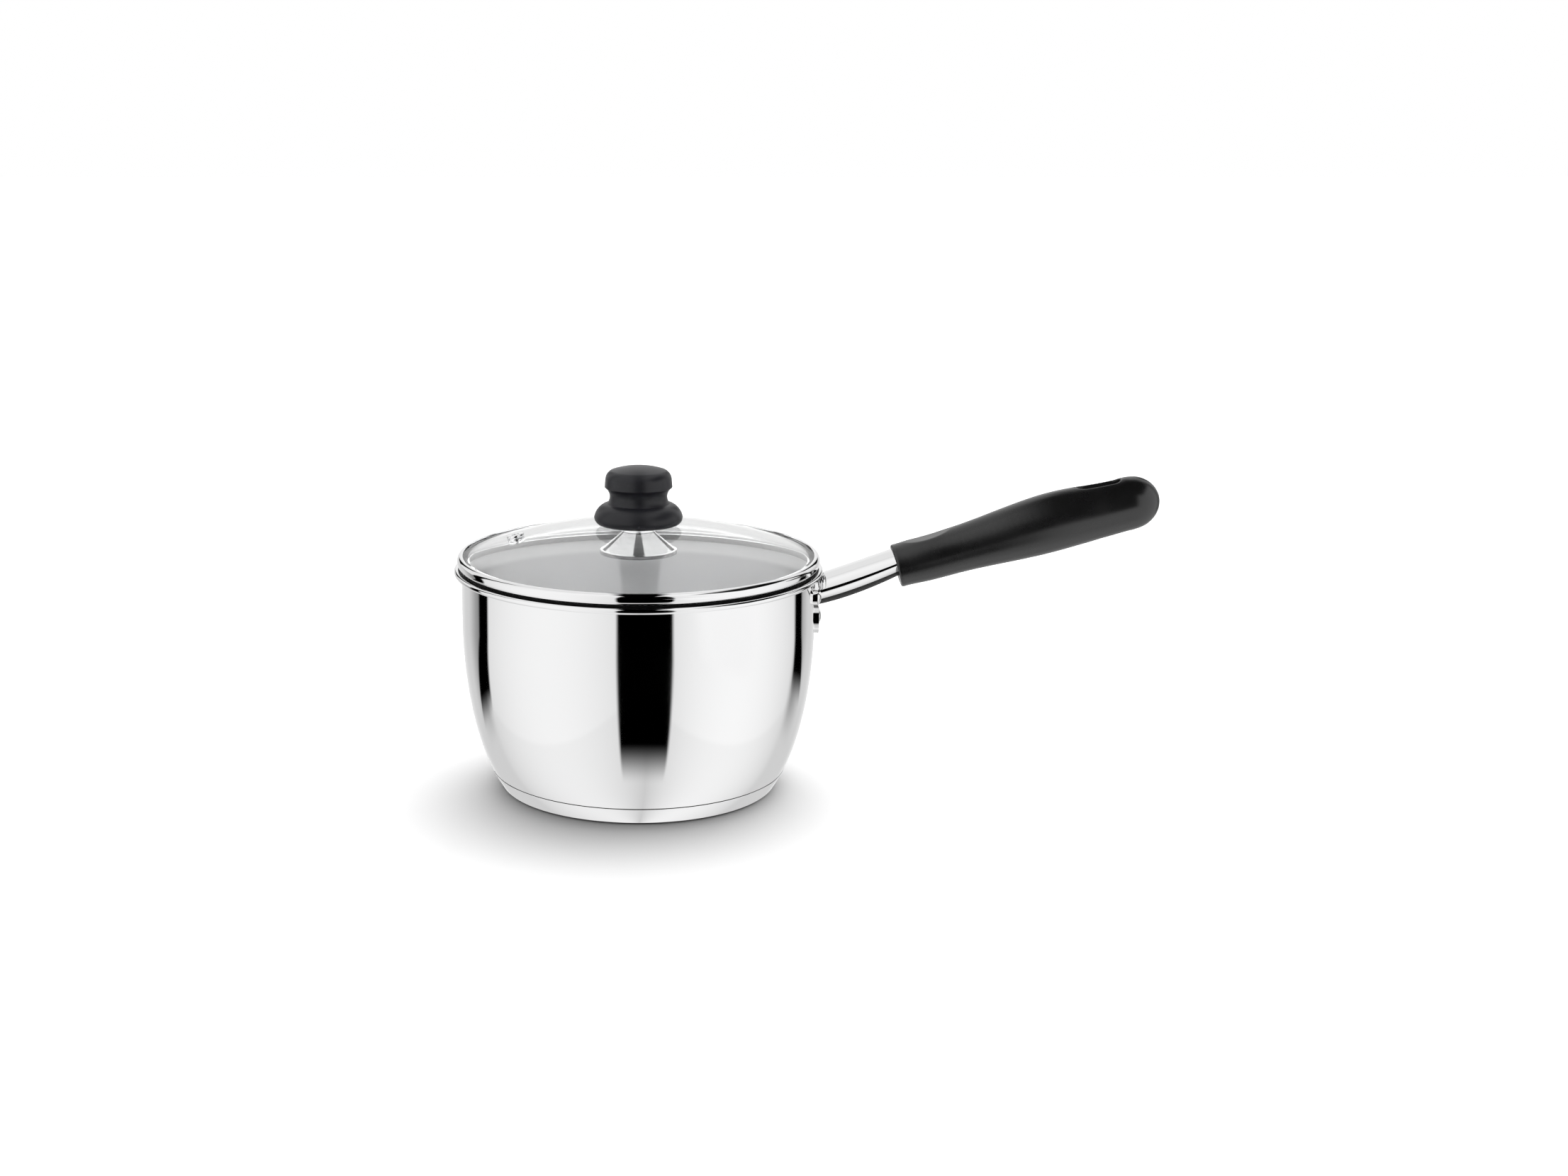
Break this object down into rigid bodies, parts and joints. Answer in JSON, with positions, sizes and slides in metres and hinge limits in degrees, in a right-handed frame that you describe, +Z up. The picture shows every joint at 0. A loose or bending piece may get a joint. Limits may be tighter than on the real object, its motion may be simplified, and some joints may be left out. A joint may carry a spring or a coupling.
{
  "type": "saucepan",
  "caption": "Polished steel saucepan with a bellied wall, a riveted handle with a dark moulded grip and a domed glass lid with a dark knob.",
  "frame": {"origin": "centre of the flat face that the pan rests on", "axes": "+Z up along the pan's axis, +X along the handle"},
  "size_m": [0.3227, 0.1692, 0.1496],
  "materials": {
    "polished_steel": "mirror polished",
    "core_aluminium": "satin",
    "fastener_steel": "satin",
    "grip_plastic": "satin black",
    "knob_plastic": "satin charcoal",
    "gasket_silicone": "translucent grey",
    "insert_brass": "turned",
    "clear_glass": "clear tempered"
  },
  "bodies": {
    "pan": {"pan_body": "polished_steel", "base_core": "core_aluminium", "base_cap": "polished_steel", "handle_bracket": "polished_steel", "handle_rivets": "polished_steel", "handle_weld_nut": "fastener_steel", "handle_ferrule": "polished_steel", "handle_grip": "grip_plastic", "handle_bolt": "fastener_steel", "handle_lock_washer": "fastener_steel"},
    "lid": {"lid_glass": "clear_glass", "lid_rim_band": "polished_steel", "vent_grommet": "polished_steel", "upper_gasket": "gasket_silicone", "lower_gasket": "gasket_silicone", "knob_washer": "fastener_steel", "knob_screw": "fastener_steel", "glass_retainer": "polished_steel", "knob": "knob_plastic", "knob_insert": "insert_brass"}
  },
  "joints": [
    {"name": "lid_lift", "type": "slide", "parent": "pan", "child": "lid", "axis": [0, 0, 1], "range_m": [0, 0.12]}
  ]
}
